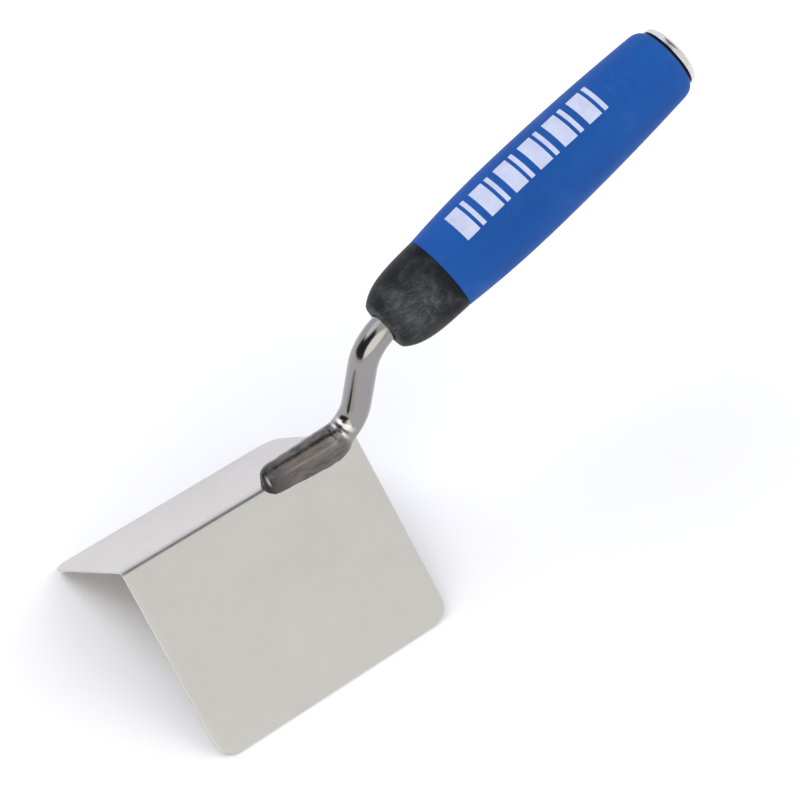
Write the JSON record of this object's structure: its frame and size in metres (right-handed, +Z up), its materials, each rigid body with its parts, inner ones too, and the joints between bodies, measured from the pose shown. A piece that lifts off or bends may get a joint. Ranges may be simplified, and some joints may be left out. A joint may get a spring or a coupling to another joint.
{
  "type": "outside corner trowel",
  "caption": "Small plastering trowel with a right-angled folded steel blade that straddles an outside wall corner, a cranked forged shank and a soft-grip handle with a steel strike cap.",
  "frame": {"origin": "where the planes of the two inner working faces meet, half way along the blade's ridge", "axes": "+X along the ridge towards the handle, +Z up on the handle's side in the plane of symmetry, +Y across the blade"},
  "size_m": [0.1994, 0.087, 0.1275],
  "materials": {
    "blade_steel": "brushed",
    "tang_steel": "polished forging",
    "core_plastic": "matte",
    "grip_rubber": "matte",
    "cap_steel": "polished"
  },
  "bodies": {
    "root": {"blade": "blade_steel", "tang": "tang_steel", "handle_core": "core_plastic", "grip_sleeve": "grip_rubber", "strike_cap": "cap_steel"}
  },
  "joints": []
}
